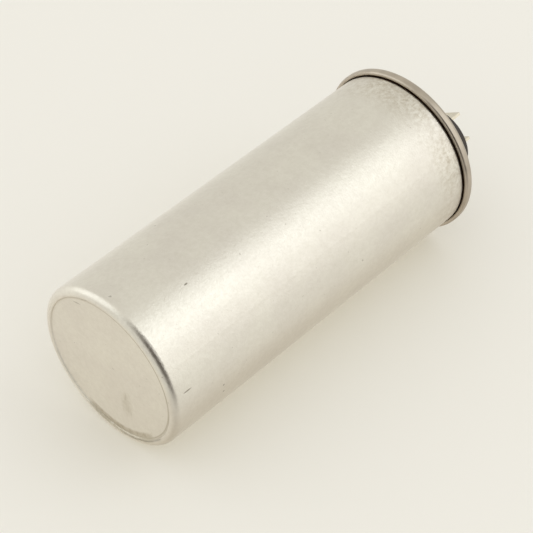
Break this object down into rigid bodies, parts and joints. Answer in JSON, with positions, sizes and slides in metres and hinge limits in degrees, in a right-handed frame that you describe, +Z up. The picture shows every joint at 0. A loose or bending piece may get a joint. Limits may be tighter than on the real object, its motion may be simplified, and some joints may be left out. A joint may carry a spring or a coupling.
{
  "type": "motor run capacitor",
  "caption": "Round bare aluminium capacitor can with a rolled double seam, a recessed lid and black terminal cups that hold quick-connect tabs.",
  "frame": {"origin": "centre of the foot land, under the can", "axes": "+Z up the can to the terminals, +X through the right terminal, +Y completes a right-handed frame"},
  "size_m": [0.0526, 0.0526, 0.1325],
  "materials": {
    "bare_aluminium": "satin drawn aluminium, bare",
    "tinplate": "dull tinned sheet",
    "seam_rubber": "sealing compound",
    "black_plastic": "moulded phenolic",
    "gasket_rubber": "moulded rubber",
    "tinned_brass": "tinned, stamped",
    "brass": "turned brass",
    "brown_board": "phenolic board",
    "solder": "dull solder",
    "copper": "bare copper",
    "white_plastic": "moulded polypropylene",
    "zinc_spray": "arc-sprayed zinc",
    "metallised_film": "metallised polypropylene film",
    "wrap_film": "polypropylene wrap",
    "resin": "cast polyurethane resin"
  },
  "bodies": {
    "root": {"can": "bare_aluminium", "lid": "tinplate", "seam_compound": "seam_rubber", "right_cup": "black_plastic", "left_cup": "black_plastic", "right_gasket": "gasket_rubber", "left_gasket": "gasket_rubber", "right_tabs": "tinned_brass", "left_tabs": "tinned_brass", "right_rivet": "brass", "left_rivet": "brass", "right_washer": "brown_board", "left_washer": "brown_board", "right_tag": "tinned_brass", "left_tag": "tinned_brass", "right_tag_solder": "solder", "left_tag_solder": "solder", "right_lead": "copper", "left_lead": "copper", "right_sleeve": "white_plastic", "left_sleeve": "white_plastic", "right_spray_solder": "solder", "left_spray_solder": "solder", "stay_plate": "brown_board", "top_spacer": "white_plastic", "upper_end_spray": "zinc_spray", "lower_end_spray": "zinc_spray", "film_winding": "metallised_film", "winding_core": "white_plastic", "winding_wrap": "wrap_film", "bottom_cup": "white_plastic", "filling_resin": "resin"}
  },
  "joints": []
}
